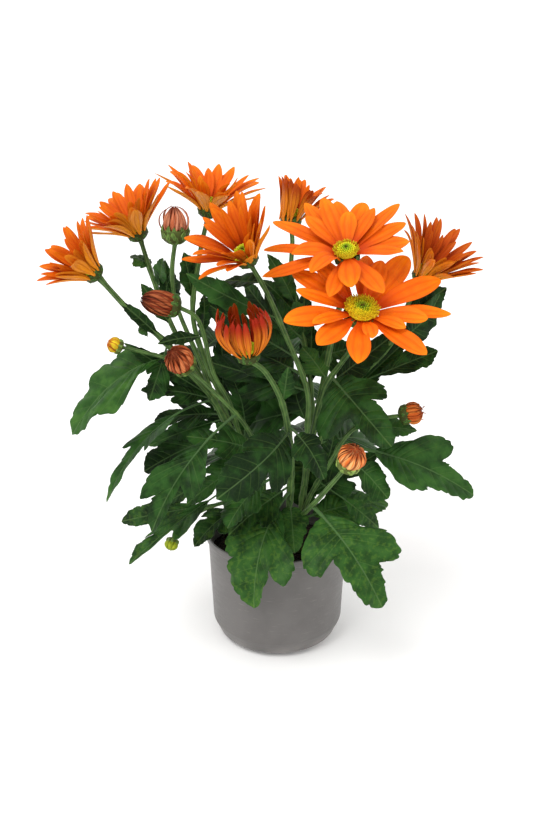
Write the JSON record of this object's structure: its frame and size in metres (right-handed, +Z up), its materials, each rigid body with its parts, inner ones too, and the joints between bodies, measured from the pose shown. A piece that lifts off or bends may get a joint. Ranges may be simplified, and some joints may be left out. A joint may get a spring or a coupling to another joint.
{
  "type": "potted chrysanthemum",
  "caption": "Bushy potted chrysanthemum with orange daisy-like blooms, closed and half-open buds and lobed leaves, in a round grey plastic pot.",
  "frame": {"origin": "centre of the pot's flat underside", "axes": "+Z up along the pot's axis, -Y towards the front of the plant, +X to its right seen from the front"},
  "size_m": [0.254, 0.1577, 0.3009],
  "materials": {
    "pot": "semi-gloss taupe-grey moulded plastic with fine scratches",
    "soil": "dark moist peat-based potting mix, crumbly",
    "leafy_stem": "satin green leaf and stem, finely hairy, with pale veins",
    "petals": "velvety orange ray petals with fine lengthwise ribs",
    "disc": "matt yellow-green florets",
    "bud": "matt red-orange folded petals",
    "young_bud": "matt yellow-green closed bud"
  },
  "bodies": {
    "root": {"pot": "pot", "soil": "soil", "leafy_stem_left": "leafy_stem", "leafy_stem_middle": "leafy_stem", "leafy_stem_right": "leafy_stem", "bloom_A_rays": "petals", "bloom_A_disc": "disc", "bloom_B_rays": "petals", "bloom_B_disc": "disc", "bloom_C_rays": "petals", "bloom_C_disc": "disc", "bloom_D_rays": "petals", "bloom_D_disc": "disc", "bloom_E_rays": "petals", "bloom_E_disc": "disc", "bloom_F_rays": "petals", "bloom_F_disc": "disc", "bloom_G_rays": "petals", "bloom_G_disc": "disc", "bloom_H_rays": "petals", "bloom_H_disc": "disc", "half_open_bloom_I_rays": "petals", "half_open_bloom_I_disc": "disc", "bud_J": "bud", "bud_K": "bud", "bud_L": "bud", "bud_M": "bud", "bud_N": "bud", "bud_O": "young_bud", "bud_P": "young_bud"}
  },
  "joints": []
}
